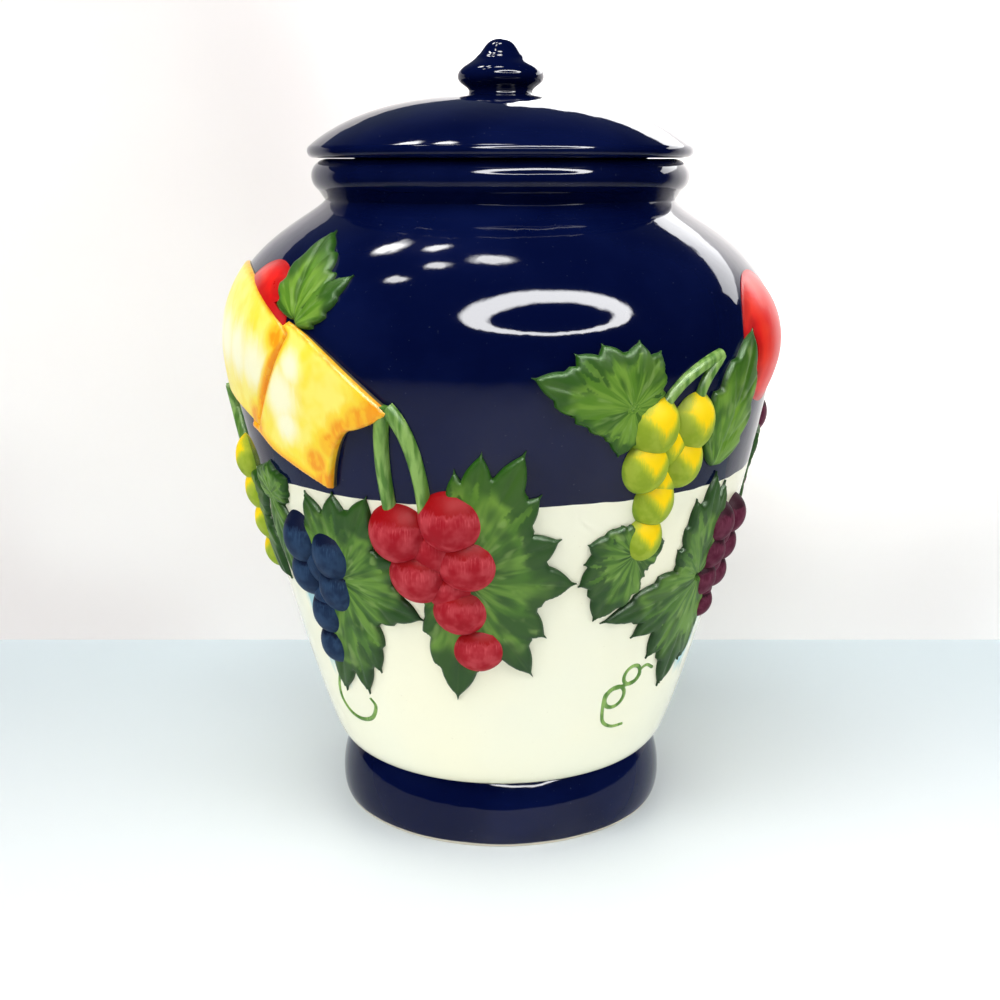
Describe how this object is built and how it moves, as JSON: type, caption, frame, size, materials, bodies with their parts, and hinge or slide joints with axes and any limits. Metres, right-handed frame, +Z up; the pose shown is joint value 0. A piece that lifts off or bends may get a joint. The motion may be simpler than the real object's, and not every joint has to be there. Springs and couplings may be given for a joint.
{
  "type": "biscuit jar",
  "caption": "Round-bellied stoneware jar on a turned foot, with sprigged fruit, vine leaves and a ribbon in relief, and a domed lid that lifts off.",
  "frame": {"origin": "centre of the jar's footprint, on the surface that it stands on", "axes": "+Z up along the jar's axis; -Y out of the front, and +X to the right seen from the front"},
  "size_m": [0.193, 0.1947, 0.2671],
  "materials": {
    "stoneware": "unglazed off-white stoneware, fine grain",
    "navy_glaze": "deep navy glaze, high gloss",
    "cream_glaze": "warm cream glaze, high gloss",
    "silicone": "translucent white silicone, matt",
    "yellow_glaze": "brushed yellow with orange edges, gloss",
    "leaf_glaze": "brushed leaf greens, dark edges, gloss",
    "stem_glaze": "brushed pale green, gloss",
    "red_grape_glaze": "crimson with pink brush strokes, gloss",
    "green_grape_glaze": "yellow-green with bright yellow patches, gloss",
    "purple_grape_glaze": "dark purple red, gloss",
    "blue_grape_glaze": "dark blue, gloss",
    "apple_glaze": "bright red, gloss",
    "peach_glaze": "orange peach, gloss",
    "lemon_glaze": "lemon yellow, gloss"
  },
  "bodies": {
    "jar": {"jar_body": "stoneware", "foot_ring": "navy_glaze", "cream_glaze": "cream_glaze", "navy_glaze": "navy_glaze", "ribbon_panel": "yellow_glaze", "ribbon_tail_front": "yellow_glaze", "ribbon_tail_back": "yellow_glaze", "red_grapes_front": "red_grape_glaze", "red_vine_front": "leaf_glaze", "red_stems_front": "stem_glaze", "green_grapes_right": "green_grape_glaze", "green_vine_right": "leaf_glaze", "green_stems_right": "stem_glaze", "purple_grapes_side": "purple_grape_glaze", "purple_vine_side": "leaf_glaze", "blue_grapes_left": "blue_grape_glaze", "blue_vine_left": "leaf_glaze", "green_grapes_left": "green_grape_glaze", "green_vine_left": "leaf_glaze", "green_stems_left": "stem_glaze", "apple_right": "apple_glaze", "apple_leaf_right": "leaf_glaze", "apple_left": "apple_glaze", "apple_leaves_left": "leaf_glaze", "red_grapes_back": "red_grape_glaze", "red_vine_back": "leaf_glaze", "red_stems_back": "stem_glaze", "blue_grapes_back": "blue_grape_glaze", "blue_vine_back": "leaf_glaze", "blue_stems_back": "stem_glaze", "purple_grapes_back": "purple_grape_glaze", "purple_vine_back": "leaf_glaze", "green_grapes_rear": "green_grape_glaze", "green_vine_rear": "leaf_glaze", "purple_grapes_rear": "purple_grape_glaze", "purple_vine_rear": "leaf_glaze", "peach_back": "peach_glaze", "peach_leaf_back": "leaf_glaze", "lemon_left": "lemon_glaze", "lemon_leaves_left": "leaf_glaze"},
    "seal": {"lid_seal": "silicone"},
    "lid": {"lid_dome": "navy_glaze", "lid_knob": "navy_glaze"}
  },
  "joints": [
    {"name": "lid_lift", "type": "slide", "parent": "jar", "child": "seal", "axis": [0, 0, 1], "range_m": [0, 0.1]},
    {"name": "lid_turn", "type": "hinge", "parent": "seal", "child": "lid", "pos_m": [0, 0, 0.2282], "axis": [0, 0, 1], "continuous": true}
  ]
}
